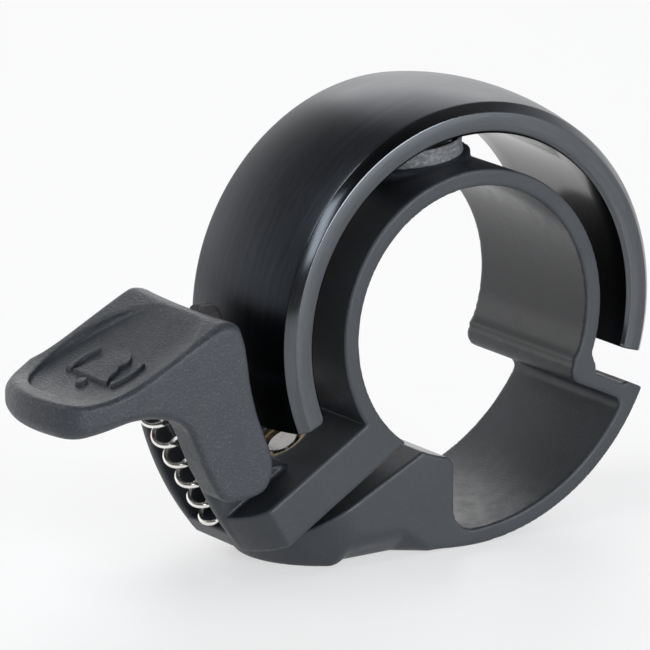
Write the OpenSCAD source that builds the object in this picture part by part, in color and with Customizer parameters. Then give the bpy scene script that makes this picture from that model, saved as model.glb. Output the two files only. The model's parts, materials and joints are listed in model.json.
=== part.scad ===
// Slim ring bell for a round bicycle handlebar: a C-shaped bell around a split clamp bracket,
// with a sprung thumb lever that carries the striker.
// Origin: centre of the handlebar bore at mid-width. +Y runs along the bar to the rear, +X to the
// right, +Z up. All sizes in millimetres.

/* [Overall] */
// handlebar diameter that the bracket clamps
bar_d = 22.2; // [18:0.1:28]
// width of the bracket along the bar
body_w = 14.8; // [12:0.1:20]

/* [Bell] */
// radial thickness of the bell at mid-width
bell_wall = 3.2; // [2.4:0.05:4]
// radial gap between bracket ring and bell
bell_gap = 2.8; // [2.2:0.05:3.6]
// radius of the barrel curve across the bell
barrel_r = 30; // [20:0.5:60]
// start angle of the bell at the right
bell_a0 = -16.5; // [-20:0.5:0]
// angle that the bell covers
bell_span = 219.5; // [180:0.5:222]
// width of the chamfer on the bell's outer edges
bell_chamfer = 0.7; // [0.3:0.05:1.2]

/* [Bracket] */
// radial thickness of the bracket ring
ring_wall = 1.4; // [1:0.05:2]
// slope of the clamp arms and of the clamp slit
arm_a = 31.3; // [25:0.1:38]
// thickness of the upper clamp arm
arm_t = 3.75; // [3:0.05:5]
// thickness of the wall around the cable channel
channel_wall = 1.35; // [1:0.05:2]
// clear depth of the cable channel outside the bar
channel_depth = 6.1; // [4.5:0.1:8]
// width of the narrow tail that holds hinge and spring
tail_w = 8.0; // [7:0.1:10]
// width of the spring slot in the tail
slot_w = 5.4; // [4:0.1:6.6]

/* [Clamp screw] */
// thread diameter of the clamp screw
screw_d = 3.0; // [2.5:0.1:4]
// wall of the threaded insert
insert_wall = 0.95; // [0.6:0.05:1.2]

/* [Lever] */
// width of the thumb lever
lever_w = 14.4; // [11:0.1:19]
// diameter of the hinge pin
pin_d = 1.2; // [1:0.05:1.6]
// depth of the thumb dish below the rim
dish_d = 0.7; // [0.3:0.05:0.9]
// height of the raised pictogram in the dish
relief_h = 0.34; // [0.15:0.01:0.4]
// radius of the striker head
striker_r = 1.5; // [1.2:0.05:1.9]
// gap between striker and bell at rest
strike_gap = 1.2; // [0.6:0.05:1.6]

/* [Spring] */
// outer diameter of the return spring
spring_od = 2.7; // [2.2:0.05:3.2]
// wire diameter of the return spring
wire_d = 0.5; // [0.35:0.01:0.6]
// number of turns of the return spring
spring_turns = 7; // [5:1:9]

/* [Hidden] */
$fn = 96;
// in-plane scale against the smallest standard bar
k = bar_d / 22.2;
bore_r = bar_d / 2;
ring_r = bore_r + ring_wall;
bell_in = ring_r + bell_gap;
bell_out = bell_in + bell_wall;
half_w = body_w / 2;
bell_inset = 0.1;
bell_half = half_w - bell_inset;
// drop of the barrel curve to the flat front face, and offset of the mount from the bell's middle
face_drop = 1.42;
flat_r = bell_out - face_drop;
mount_shift = 2.5;
mount_a = bell_a0 + bell_span / 2 + mount_shift;
// running clearance on the hinge, side clearance of the cheeks, play around screws
run_c = 0.04;
side_c = 0.25;
play = 0.2;
// cable channel
chan_in = bore_r + channel_depth;
chan_out = chan_in + channel_wall;
shelf_a = -24.8;
floor_cut = 0.1;
floor_z = -(chan_out - floor_cut);
// outer arc of the tail and of the lower arm
tail_r = 25.7 * k;
tail_half = tail_w / 2;
slot_half = slot_w / 2;
crease_a = -7.0 * k;
taper_a = 50;
chamfer_run = (half_w - tail_half) / tan(taper_a);
foot_a = -0.3 * k;
// clamp slit: point where the screw crosses the slit's upper face
slit_x = -11.8 * k;
slit_z = -12.12 * k;
slit_g = 1.15 * k;
slit_flare = 4.9;
// clamp screw stack, measured down the screw axis from the slit's upper face
screw_r = screw_d / 2;
insert_r = screw_r + insert_wall;
insert_drop = 0.4;
insert_l = 2.9 * k;
head_share = 0.88;
socket_share = 0.48;
head_r = screw_d * head_share;
washer_lip = 0.3;
washer_r = head_r + washer_lip;
washer_t = 0.5;
seat_t = 3.0 * k;
head_h = 2.0;
// hinge and spring positions
hinge_x = -20.4 * k;
hinge_z = -8.8 * k;
pin_r = pin_d / 2;
spring_a = -8.2 * k;
spring_b0 = 1.9 * k;
spring_b1 = 15.7 * k;
wire_r = wire_d / 2;
coil_r = spring_od / 2 - wire_r;
// lever
lever_inset = 0.4;
lever_half = min(lever_w, body_w - lever_inset) / 2;
cheek_in = tail_half + side_c;
dish_x = -30.0 * k;
dish_y = -1.1 * lever_half / 7.2;
dish_r = 6.7 * k;
tip_r = 10.3 * k;
tip_x = -28.6 * k;
tip_y = -2.1 * lever_half / 7.2;
corner_r = 2.7;
strike_z = 1.55 * k;
strike_x = -sqrt(bell_out * bell_out - pow(strike_z + striker_r * 0.4, 2)) - strike_gap;
stem_r = 0.8;
stem_x = -24.0 * k;
// bell mount stack, radial positions
seat_rise = 0.1;
seat_low = bore_r + 0.4;
seat_lip = 0.5;
seat_r = ring_r + seat_rise;
bush_share = 0.482;
bush_t = bush_share * bell_gap;
boss_r0 = seat_r + bush_t;
bush_r = 4.4 * k;
bell_screw_r = 1.25;
sleeve_r = 2.0;
csk_r = 2.35;
csk_share = 0.75;
csk_sink = 0.1;
csk_h = csk_share * ring_wall;
// how far the boss and the bell screw reach into the bell's wall
boss_reach = 0.6 * bell_wall;
screw_reach = 0.5 * bell_wall;
// overshoot of the cutters, and the overlap that joins two pieces
over = 1;
join = 0.01;

// ---- helpers ---------------------------------------------------------------------------------

// extrude a profile drawn in (x, z) along Y, centred on y0
module along_y(h, y0 = 0) {
  translate([0, y0, 0])
    rotate([90, 0, 0])
      linear_extrude(height = h, center = true)
        children();
}

// place children so that their local Z points radially outward at angle a
module radial(a) {
  rotate([0, 90 - a, 0])
    children();
}

// clamp frame: local X towards the bore, local Z up the screw axis, origin on the slit's upper face
module arm_frame() {
  translate([slit_x, 0, slit_z])
    rotate([0, -arm_a, 0])
      children();
}

// the same frame for profiles
module arm_frame_2d() {
  translate([slit_x, slit_z])
    rotate(arm_a)
      children();
}

// sector of a very large disc
module wedge(a0, a1, r = 60) {
  mid = (a0 + a1) / 2;
  polygon([[0, 0], [r * cos(a0), r * sin(a0)], [r * cos(mid), r * sin(mid)], [r * cos(a1), r * sin(a1)]]);
}

// band between two radii
module band(r_in, r_out) {
  difference() {
    circle(r = r_out);
    circle(r = r_in);
  }
}

// ---- bell ------------------------------------------------------------------------------------

module bell_profile() {
  edge = 0.3;
  slope = 1.4;
  intersection() {
    translate([bell_out - barrel_r, 0])
      circle(r = barrel_r, $fn = 180);
    polygon([
      [bell_in + edge, -bell_half],
      [flat_r, -bell_half],
      [flat_r + bell_chamfer, -bell_half + bell_chamfer],
      [bell_out + over, -bell_half + bell_chamfer + slope],
      [bell_out + over, bell_half - bell_chamfer - slope],
      [flat_r + bell_chamfer, bell_half - bell_chamfer],
      [flat_r, bell_half],
      [bell_in + edge, bell_half],
      [bell_in, bell_half - edge],
      [bell_in, -bell_half + edge]
    ]);
  }
}

// cutter that bevels the inner corner at one end of the bell
module bell_end_cut(a, bevel) {
  rotate([0, -a, 0])
    translate([bell_in, 0, 0])
      rotate([0, 45, 0])
        cube([sqrt(2) * bevel, body_w + over, sqrt(2) * bevel], center = true);
}

module bell_ring() {
  left_bevel = 0.5;
  right_bevel = 0.25;
  color([0.05, 0.05, 0.055])
  difference() {
    union() {
      rotate([0, -bell_a0, 0])
        rotate([90, 0, 0])
          rotate_extrude(angle = bell_span)
            bell_profile();
      radial(mount_a)
        translate([0, 0, boss_r0])
          cylinder(r = bush_r, h = bell_in + boss_reach - boss_r0);
    }
    // blind thread for the bell screw
    radial(mount_a)
      translate([0, 0, boss_r0 - over])
        cylinder(r = bell_screw_r, h = over + bell_in + boss_reach + join - boss_r0, $fn = 48);
    // bevelled inner corners at both ends
    bell_end_cut(bell_a0 + bell_span, left_bevel);
    bell_end_cut(bell_a0, right_bevel);
  }
}

module bell_bush() {
  color([0.16, 0.16, 0.17])
  radial(mount_a)
    translate([0, 0, seat_r])
      difference() {
        cylinder(r = bush_r, h = bush_t);
        translate([0, 0, -over])
          cylinder(r = sleeve_r, h = bush_t + 2 * over, $fn = 48);
      }
}

module bell_sleeve() {
  color([0.7, 0.7, 0.72])
  radial(mount_a)
    translate([0, 0, seat_r])
      difference() {
        cylinder(r = sleeve_r, h = bush_t, $fn = 48);
        translate([0, 0, -over])
          cylinder(r = bell_screw_r + play, h = bush_t + 2 * over, $fn = 48);
      }
}

module bell_screw() {
  tip = bell_in + screw_reach;
  head_sink = 0.12;
  shank_z = bore_r + 0.3;
  key_r = 0.85;
  key_depth = 1;
  color([0.2, 0.2, 0.21])
  radial(mount_a)
    difference() {
      union() {
        translate([0, 0, bore_r + head_sink])
          cylinder(r1 = csk_r - play / 2, r2 = bell_screw_r, h = csk_h, $fn = 48);
        translate([0, 0, shank_z])
          cylinder(r = bell_screw_r, h = tip - shank_z, $fn = 48);
      }
      translate([0, 0, bore_r - over])
        cylinder(r = key_r, h = over + key_depth, $fn = 6);
    }
}

// ---- bracket ---------------------------------------------------------------------------------

// half plane under the slit's lower face
module below_slit() {
  arm_frame_2d()
    translate([0, -slit_g])
      rotate(-slit_flare)
        translate([-40, -60])
          square([80, 60]);
}

// half plane above the slit's upper face
module above_slit() {
  arm_frame_2d()
    translate([-40, 0])
      square([80, 60]);
}

module ring_2d() {
  nose_a = 215.3;
  root_a = [190, 240];
  difference() {
    band(bore_r, ring_r);
    wedge(nose_a, 360 + shelf_a);
  }
  // the arm root carries the nose of the ring
  intersection() {
    band(bore_r, ring_r);
    wedge(root_a[0], root_a[1]);
    above_slit();
  }
}

module shelf_2d() {
  shelf_t = 1.25;
  shelf_drop = 0.45 * k;
  lip_r = 1.2;
  lip_a = shelf_a - 2.4;
  intersection() {
    circle(r = chan_out);
    rotate(shelf_a)
      translate([ring_r - join, -shelf_drop - shelf_t])
        square([chan_out, shelf_t]);
  }
  // rounded lower end of the ring
  translate((bore_r + lip_r) * [cos(lip_a), sin(lip_a)])
    circle(r = lip_r, $fn = 48);
}

module channel_2d() {
  start_a = 261;
  difference() {
    band(chan_in, chan_out);
    wedge(shelf_a - 1.5, 150);
    wedge(149, start_a);
  }
}

module lower_arm_2d() {
  wall_x = -1.9 * k;
  fillet_r = 2;
  mouth_r = chan_in - fillet_r;
  intersection() {
    band(bore_r, tail_r);
    below_slit();
    translate([-tail_r, floor_z])
      square([tail_r + wall_x, tail_r]);
  }
  // fillet between block and channel wall
  difference() {
    translate([wall_x - 0.2, floor_z + 0.3])
      square([fillet_r + 0.2, chan_out - 0.4 - mouth_r]);
    translate([wall_x + fillet_r, -sqrt(pow(mouth_r, 2) - pow(wall_x + fillet_r, 2))])
      circle(r = fillet_r, $fn = 48);
    band(chan_out, tail_r + over);
  }
}

module upper_arm_2d() {
  root_x = -7.4 * k;
  intersection() {
    band(bore_r, tail_r);
    arm_frame_2d()
      translate([-14 * k, 0])
        square([22 * k, arm_t]);
    translate([-tail_r, -tail_r])
      square([tail_r + root_x, 2 * tail_r]);
  }
}

module tail_2d() {
  intersection() {
    circle(r = tail_r, $fn = 180);
    above_slit();
    union() {
      translate([hinge_x, hinge_z])
        circle(r = 2.3 * k);
      polygon([
        k * [-15.2, -10.1],
        k * [-18.35, -9.9],
        k * [-18.6, -7.4],
        k * [-20.2, -6.52],
        k * [-23.2, -5.3],
        k * [-23.9, -4.75],
        k * [-26.6, -4.6],
        k * [-29, -12],
        k * [-22, -20],
        k * [-16, -14]
      ]);
    }
  }
}

// plan outline of the clamp arms in the clamp frame, x towards the bore
module arm_plan() {
  polygon([
    [40, half_w],
    [crease_a, half_w],
    [crease_a - chamfer_run, tail_half],
    [-20 * k, tail_half],
    [-20 * k, -tail_half],
    [crease_a - chamfer_run, -tail_half],
    [crease_a, -half_w],
    [40, -half_w]
  ]);
}

// plan outline of the lower arm: round end about the screw
module foot_plan() {
  union() {
    translate([foot_a, 0])
      circle(r = half_w);
    translate([foot_a, -half_w])
      square([60, body_w]);
  }
}

module clamp_bracket() {
  nut_b = arm_t - insert_drop;
  slot_play = 0.15;
  csk_play = 0.05;
  scoop_x = -9 * k;
  scoop_l = 9 * k;
  scoop_w = 2;
  color([0.13, 0.135, 0.14])
  difference() {
    union() {
      along_y(body_w) {
        ring_2d();
        shelf_2d();
        channel_2d();
      }
      // lower arm with its round end
      intersection() {
        along_y(body_w)
          lower_arm_2d();
        arm_frame()
          translate([0, 0, -30])
            linear_extrude(height = 60)
              foot_plan();
      }
      // upper arm with its tapered end
      intersection() {
        along_y(body_w)
          upper_arm_2d();
        arm_frame()
          translate([0, 0, -5])
            linear_extrude(height = 30)
              arm_plan();
      }
      along_y(tail_w)
        tail_2d();
      // flat seat for the bell bush
      intersection() {
        radial(mount_a)
          translate([0, 0, seat_low])
            cylinder(r = bush_r + seat_lip, h = seat_r - seat_low);
        along_y(body_w)
          band(bore_r, chan_out);
      }
    }
    // spring slot in the tail
    arm_frame()
      translate([-40, -slot_half, spring_b0])
        cube([40 + spring_a + spring_od / 2 + slot_play, slot_w, 40]);
    // hinge bore
    translate([hinge_x, 0, hinge_z])
      rotate([90, 0, 0])
        cylinder(r = pin_r + run_c, h = tail_w + 2 * over, center = true, $fn = 48);
    // insert pocket, open upwards, screw clearance below it, and the seat of the head
    arm_frame() {
      translate([0, 0, nut_b - insert_l])
        cylinder(r = insert_r, h = 10);
      translate([0, 0, -12 * k])
        cylinder(r = screw_r + play, h = 12 * k + 9.5, $fn = 48);
      translate([0, 0, -seat_t - 20])
        cylinder(r = washer_r + play, h = 20);
    }
    // countersunk hole for the bell screw
    radial(mount_a) {
      cylinder(r = bell_screw_r + play, h = seat_r + over, $fn = 48);
      translate([0, 0, bore_r - over])
        cylinder(r = csk_r + csk_play, h = over + csk_sink, $fn = 48);
      translate([0, 0, bore_r + csk_sink])
        cylinder(r1 = csk_r + csk_play, r2 = bell_screw_r + play, h = csk_h, $fn = 48);
    }
    // chamfers along the lower arm's bottom edges
    for (s = [-1, 1])
      translate([scoop_x, s * half_w, floor_z])
        rotate([45, 0, 0])
          cube([scoop_l, scoop_w, scoop_w], center = true);
  }
}

// ---- clamp hardware --------------------------------------------------------------------------

module thread_insert() {
  top = arm_t - insert_drop;
  lead_in = 0.3;
  color([0.72, 0.58, 0.32])
  arm_frame()
    difference() {
      translate([0, 0, top - insert_l])
        cylinder(r = insert_r, h = insert_l);
      translate([0, 0, top - insert_l - over])
        cylinder(r = screw_r, h = insert_l + 2 * over, $fn = 48);
      translate([0, 0, top - lead_in])
        cylinder(r1 = screw_r, r2 = screw_r + lead_in, h = lead_in + join, $fn = 48);
    }
}

module clamp_screw() {
  tip_drop = 0.1;
  tip_bevel = 0.25;
  socket_share_h = 0.6;
  top = arm_t - insert_drop - tip_drop;
  bottom = -seat_t - washer_t;
  color([0.78, 0.79, 0.8])
  arm_frame()
    difference() {
      union() {
        translate([0, 0, bottom - join])
          cylinder(r = screw_r, h = top - tip_bevel - bottom + join, $fn = 48);
        translate([0, 0, top - tip_bevel - join])
          cylinder(r1 = screw_r, r2 = screw_r - tip_bevel, h = tip_bevel + join, $fn = 48);
        translate([0, 0, bottom - head_h])
          cylinder(r = head_r, h = head_h, $fn = 64);
      }
      translate([0, 0, bottom - head_h - over])
        cylinder(r = screw_d * socket_share, h = over + head_h * socket_share_h, $fn = 6);
    }
}

module clamp_washer() {
  color([0.7, 0.7, 0.72])
  arm_frame()
    translate([0, 0, -seat_t - washer_t])
      difference() {
        cylinder(r = washer_r, h = washer_t, $fn = 64);
        translate([0, 0, -over])
          cylinder(r = screw_r + play, h = washer_t + 2 * over, $fn = 48);
      }
}

// ---- lever -----------------------------------------------------------------------------------

// side view of the lever: heel, leg, head and pad
module lever_2d() {
  heel_r = 2.1 * k;
  polygon([
    k * [-23.35, 3.45],
    k * [-22.6, 3.35],
    k * [-22.0, 2.85],
    k * [-21.7, 2.0],
    k * [-21.38, 0.06],
    k * [-21.06, -2.31],
    k * [-20.42, -4.75],
    k * [-19.59, -6.8],
    k * [-19.1, -8.1],
    k * [-19.0, -9.25],
    k * [-21.1, -11.35],
    k * [-23.75, -11.3],
    k * [-25.32, -8.57],
    k * [-26.03, -6.82],
    k * [-26.85, -4.95],
    k * [-27.7, -4.1],
    k * [-29.6, -3.6],
    k * [-31.8, -3.55],
    k * [-34.5, -4.05],
    k * [-37, -4.3],
    k * [-39.2, -4.1],
    k * [-40.5, -3.3],
    k * [-41.1, -2.2],
    k * [-41.1, -1.3],
    k * [-40.3, -0.95],
    k * [-38.5, -1.2],
    k * [-36, -1.45],
    k * [-34, -1.3],
    k * [-32, -0.75],
    k * [-30.2, 0.05],
    k * [-24.1, 3.2]
  ]);
  // round heel
  intersection() {
    translate(k * [-21.1, -9.25])
      circle(r = heel_r);
    translate(k * [-22, -12])
      square(k * [4, 4]);
  }
}

// plan outline of the lever, thumb end on the left, front corner rounded
module lever_plan() {
  corner_x = tip_x - sqrt(pow(tip_r - corner_r, 2) - pow(tip_y + lever_half - corner_r, 2));
  corner_y = -lever_half + corner_r;
  corner_dir = atan2(corner_y - tip_y, corner_x - tip_x);
  union() {
    difference() {
      intersection() {
        translate([tip_x, tip_y])
          circle(r = tip_r, $fn = 120);
        translate([-60 * k, -lever_half])
          square([60 * k + tip_x + over, 2 * lever_half]);
      }
      translate([corner_x, corner_y])
        polygon([
          [0, 0],
          [0, -10],
          [-20, -10],
          20 * [cos(corner_dir), sin(corner_dir)]
        ]);
    }
    translate([corner_x, corner_y])
      circle(r = corner_r, $fn = 64);
    translate([tip_x, -lever_half])
      square([16 * k, 2 * lever_half]);
  }
}

// floor of the thumb dish, raised by up
module dish_floor_2d(up = 0) {
  polygon([
    [-41 * k, -1.75 * k + up],
    [-38 * k, -2.0 * k + up],
    [-35.5 * k, -2.0 * k + up],
    [-33 * k, -1.6 * k + up],
    [-30.5 * k, -0.7 * k + up],
    [-28 * k, 0.45 * k + up],
    [-25.6 * k, 1.85 * k + up],
    [-23.3 * k, 3.5 * k + up],
    [-23.3 * k, 9],
    [-41 * k, 9]
  ]);
}

// bell sign in plan: dome with flared rim, clapper and a sound arc on each side
module pictogram() {
  dome_r = 1.75;
  rim_half = 2.65;
  waist_half = 1.95;
  clapper_r = 0.5;
  arc_in = 3.05;
  arc_out = 3.65;
  translate([-30.6 * k, -0.7])
    rotate(-90) {
      translate([0, 0.5])
        circle(r = dome_r, $fn = 64);
      polygon([
        [-dome_r, 0.5],
        [dome_r, 0.5],
        [waist_half, -0.85],
        [rim_half, -1.5],
        [-rim_half, -1.5],
        [-waist_half, -0.85]
      ]);
      translate([0, -2.25])
        circle(r = clapper_r, $fn = 32);
      for (turn = [0, 180])
        rotate(turn)
          intersection() {
            band(arc_in, arc_out);
            wedge(-26, 26, 8);
          }
    }
}

module thumb_lever() {
  head_z = -3.3 * k;
  dish_rim = 0.6;
  relief_root = 0.3;
  pocket_play = 0.3;
  pocket_b = 8;
  pocket_end = 0.05;
  wall_front = 1.2;
  cheek_x = 2.2;
  cheek_z = -1.05;
  cheek_r = 25.6;
  cheek_top = -4.4;
  rear_w = lever_half + over - cheek_in;
  color([0.12, 0.125, 0.135])
  difference() {
    union() {
      difference() {
        intersection() {
          along_y(2 * lever_half)
            lever_2d();
          translate([0, 0, -20 * k])
            linear_extrude(height = 40 * k)
              lever_plan();
        }
        // thumb dish
        intersection() {
          translate([dish_x, dish_y, -10])
            cylinder(r = dish_r, h = 30, $fn = 120);
          along_y(2 * (lever_half - dish_rim))
            dish_floor_2d();
        }
      }
      // raised pictogram on the dish floor
      intersection() {
        translate([0, 0, -10])
          linear_extrude(height = 20)
            pictogram();
        difference() {
          along_y(10)
            dish_floor_2d(-relief_root);
          along_y(12)
            dish_floor_2d(relief_h);
        }
      }
    }
    // room for the tail between the cheeks
    translate([-27.5 * k, -cheek_in, -20 * k])
      cube([12 * k, 2 * cheek_in, 20 * k + head_z]);
    // hollow under the pad
    along_y(2 * cheek_in)
      polygon([
        k * [-27.6, -20],
        k * [-27.6, -3.0],
        k * [-31.0, -2.6],
        k * [-33.5, -3.1],
        k * [-34.5, -4.0],
        k * [-34.5, -20]
      ]);
    // the rear cheek is slimmer and stays inside the tail's outline
    along_y(rear_w + join, cheek_in + (rear_w - join) / 2)
      difference() {
        translate(k * [-30, -20])
          square(k * [20, 20 + cheek_top]);
        translate(k * [cheek_x, cheek_z])
          circle(r = cheek_r * k, $fn = 180);
      }
    // pocket for the upper end of the spring
    arm_frame()
      translate([spring_a, 0, pocket_b])
        cylinder(r = spring_od / 2 + pocket_play, h = spring_b1 - pocket_b + pocket_end);
    // hinge bore: through the rear cheek, blind in the front cheek
    translate([hinge_x, lever_half + over, hinge_z])
      rotate([90, 0, 0])
        cylinder(r = pin_r, h = 2 * lever_half + over - wall_front, $fn = 48);
    // socket for the striker stem
    translate([stem_x, 0, strike_z])
      rotate([0, 90, 0])
        cylinder(r = stem_r, h = 10, $fn = 48);
  }
}

module striker() {
  face = -21.75 * k;
  face_gap = 0.05;
  dome_h = 0.7;
  dome_r = 2.2 * striker_r;
  color([0.1, 0.09, 0.085])
  translate([0, 0, strike_z])
    rotate([0, 90, 0]) {
      translate([0, 0, stem_x])
        cylinder(r = stem_r, h = face - stem_x + 0.2, $fn = 48);
      translate([0, 0, face + face_gap])
        cylinder(r = striker_r, h = strike_x - dome_h - face - face_gap, $fn = 48);
      intersection() {
        translate([0, 0, strike_x - dome_r])
          sphere(r = dome_r, $fn = 64);
        translate([0, 0, strike_x - dome_h - join])
          cylinder(r = striker_r, h = 2, $fn = 48);
      }
    }
}

module hinge_pin() {
  end_in = 0.2;
  wall_front = 1.2;
  color([0.75, 0.75, 0.77])
  translate([hinge_x, lever_half - end_in, hinge_z])
    rotate([90, 0, 0])
      cylinder(r = pin_r, h = 2 * lever_half - end_in - wall_front, $fn = 48);
}

// ---- spring ----------------------------------------------------------------------------------

// centre line of the coil at step i of n, flat for half a turn at each end
function coil_point(i, n, z0, z1) =
  let (t = i / n, flat = 0.5 / spring_turns,
       u = min(max((t - flat) / (1 - 2 * flat), 0), 1),
       a = 360 * spring_turns * t)
  [coil_r * cos(a), coil_r * sin(a), z0 + (z1 - z0) * u];

// ring of the wire's surface about one point of the centre line
function coil_ring(i, n, z0, z1, sides) =
  let (p = coil_point(i, n, z0, z1), a = 360 * spring_turns * i / n)
  [for (j = [0 : sides - 1])
    let (b = 360 * j / sides)
    p + wire_r * [cos(b) * cos(a), cos(b) * sin(a), sin(b)]];

module return_spring() {
  sides = 8;
  n = spring_turns * 18;
  end_gap = 0.02;
  z0 = spring_b0 + wire_r + end_gap;
  z1 = spring_b1 - wire_r - end_gap;
  points = [for (i = [0 : n]) each coil_ring(i, n, z0, z1, sides)];
  walls = [for (i = [0 : n - 1], j = [0 : sides - 1])
    let (j2 = (j + 1) % sides)
    [i * sides + j, i * sides + j2, (i + 1) * sides + j2, (i + 1) * sides + j]];
  caps = [[for (j = [sides - 1 : -1 : 0]) j], [for (j = [0 : sides - 1]) n * sides + j]];
  color([0.85, 0.85, 0.86])
  arm_frame()
    translate([spring_a, 0, 0])
      mirror([0, 1, 0])
        polyhedron(points = points, faces = concat(walls, caps), convexity = 10);
}

// ---- nodes -----------------------------------------------------------------------------------

bell_ring();
bell_bush();
bell_sleeve();
bell_screw();
clamp_bracket();
thread_insert();
clamp_screw();
clamp_washer();
thumb_lever();
striker();
hinge_pin();
return_spring();
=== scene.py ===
"""Slim ring bell for a bicycle handlebar: detailed surfaces and finishes over the CAD frame.

Sizes are written in millimetres and turned into metres when a mesh is made. +Y runs along the
handlebar to the rear, +X to the right and +Z up; the origin is the centre of the handlebar bore.
"""

import json
import logging
import math
from dataclasses import dataclass, field
from enum import Enum
from typing import Callable, Sequence

import bpy
import numpy as np
from mathutils import Matrix, Vector

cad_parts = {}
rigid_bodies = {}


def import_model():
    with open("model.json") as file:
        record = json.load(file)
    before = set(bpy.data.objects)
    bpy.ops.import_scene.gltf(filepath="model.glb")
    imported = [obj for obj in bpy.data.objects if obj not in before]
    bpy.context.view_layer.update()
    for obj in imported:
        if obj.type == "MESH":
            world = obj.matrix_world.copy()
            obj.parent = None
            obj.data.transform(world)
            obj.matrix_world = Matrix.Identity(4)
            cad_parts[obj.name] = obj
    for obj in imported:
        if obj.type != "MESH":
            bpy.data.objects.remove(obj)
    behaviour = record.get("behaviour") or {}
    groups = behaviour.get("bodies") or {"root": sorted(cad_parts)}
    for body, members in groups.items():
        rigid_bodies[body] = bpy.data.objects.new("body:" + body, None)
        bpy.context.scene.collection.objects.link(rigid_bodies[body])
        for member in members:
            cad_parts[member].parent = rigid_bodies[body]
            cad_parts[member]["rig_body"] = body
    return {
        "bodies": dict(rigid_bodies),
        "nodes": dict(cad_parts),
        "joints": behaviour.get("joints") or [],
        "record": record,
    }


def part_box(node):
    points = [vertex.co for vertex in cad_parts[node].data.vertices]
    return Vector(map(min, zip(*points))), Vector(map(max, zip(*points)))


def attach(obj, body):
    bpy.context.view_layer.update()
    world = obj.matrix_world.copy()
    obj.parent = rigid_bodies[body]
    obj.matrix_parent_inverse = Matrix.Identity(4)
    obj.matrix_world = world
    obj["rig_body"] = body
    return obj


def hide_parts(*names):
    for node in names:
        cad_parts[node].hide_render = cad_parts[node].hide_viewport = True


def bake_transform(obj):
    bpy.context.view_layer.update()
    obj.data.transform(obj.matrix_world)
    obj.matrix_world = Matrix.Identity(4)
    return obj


LOG = logging.getLogger("ring_bell")
MM = 0.001

Array = np.ndarray
Field = Callable[[Array, Array, Array], Array]


class Body(Enum):
    """The two rigid bodies of the bell."""

    BRACKET = "bracket"
    LEVER = "lever"


# ---- shader graphs -------------------------------------------------------------------------------


class Graph:
    """One node tree, with one method that makes any node."""

    def __init__(self, tree: bpy.types.NodeTree) -> None:
        """Start from an empty tree.

        Args:
            tree: the node tree to fill.
        """
        self.tree = tree
        tree.nodes.clear()

    def node(self, kind: str, settings: dict | None = None, inputs: dict | None = None) -> bpy.types.Node:
        """Make a node, choose its settings, then fill its sockets.

        Args:
            kind: the node's type name.
            settings: attributes of the node, set first; "stops" fills a colour ramp.
            inputs: socket name or index to a value, a Value or a socket.

        Returns:
            The new node.
        """
        made = self.tree.nodes.new(kind)
        for key, value in (settings or {}).items():
            if key == "stops":
                ramp = made.color_ramp
                while len(ramp.elements) < len(value):
                    ramp.elements.new(0.5)
                for element, (place, colour) in zip(ramp.elements, value):
                    element.position = place
                    element.color = colour
            else:
                setattr(made, key, value)
        for key, value in (inputs or {}).items():
            self.feed(made.inputs[key], value)
        return made

    def feed(self, socket: bpy.types.NodeSocket, value: object) -> None:
        """Link a Value or socket to an input, or set a plain number or colour on it."""
        if isinstance(value, Value):
            self.tree.links.new(value.socket, socket)
        elif isinstance(value, bpy.types.NodeSocket):
            self.tree.links.new(value, socket)
        else:
            socket.default_value = value

    def value(self, kind: str, output: str | int, settings: dict | None = None,
              inputs: dict | None = None) -> "Value":
        """Make a node and wrap one of its outputs for arithmetic."""
        return Value(self, self.node(kind, settings, inputs).outputs[output])

    def place(self) -> bpy.types.NodeSocket:
        """Object coordinates, in metres in the part's own frame."""
        return self.node("ShaderNodeTexCoord").outputs["Object"]

    def mapped(self, scale: Sequence[float], shift: Sequence[float] = (0, 0, 0)) -> bpy.types.NodeSocket:
        """Object coordinates with a scale per axis, and a shift for a pattern of its own."""
        made = self.node("ShaderNodeMapping", None, {"Vector": self.place(), "Scale": scale, "Location": shift})
        return made.outputs["Vector"]

    def noise(self, vector: bpy.types.NodeSocket, scale: float, detail: float = 3.0,
              roughness: float = 0.55) -> "Value":
        """Fractal noise between 0 and 1."""
        return self.value("ShaderNodeTexNoise", "Fac", {"noise_dimensions": "3D"},
                          {"Vector": vector, "Scale": scale, "Detail": detail, "Roughness": roughness})

    def blend(self, share: object, first: Sequence[float], second: Sequence[float]) -> bpy.types.NodeSocket:
        """Mix two colours, given as numbers or sockets, by a share."""
        made = self.node("ShaderNodeMix", {"data_type": "RGBA"}, {0: share, 6: first, 7: second})
        return made.outputs[2]


@dataclass
class Value:
    """A socket that carries one number, for arithmetic written as Python expressions."""

    graph: Graph
    socket: bpy.types.NodeSocket

    def _math(self, operation: str, first: object, second: object = 0.0) -> "Value":
        """One Math node on two values."""
        return self.graph.value("ShaderNodeMath", 0, {"operation": operation}, {0: first, 1: second})

    def __add__(self, other: object) -> "Value":
        """self + other."""
        return self._math("ADD", self, other)

    __radd__ = __add__

    def __sub__(self, other: object) -> "Value":
        """self - other."""
        return self._math("SUBTRACT", self, other)

    def __rsub__(self, other: object) -> "Value":
        """other - self."""
        return self._math("SUBTRACT", other, self)

    def __mul__(self, other: object) -> "Value":
        """self * other."""
        return self._math("MULTIPLY", self, other)

    __rmul__ = __mul__

    def __pow__(self, other: object) -> "Value":
        """self ** other."""
        return self._math("POWER", self, other)

    def angle(self, other: object) -> "Value":
        """The angle whose tangent is self over other, over the full turn."""
        return self._math("ARCTAN2", self, other)

    def ramp(self, low: float, high: float) -> "Value":
        """0 below low, 1 above high, smooth between them."""
        return self.graph.value("ShaderNodeMapRange", 0, {"interpolation_type": "SMOOTHSTEP"},
                                {"Value": self, "From Min": low, "From Max": high})


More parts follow.
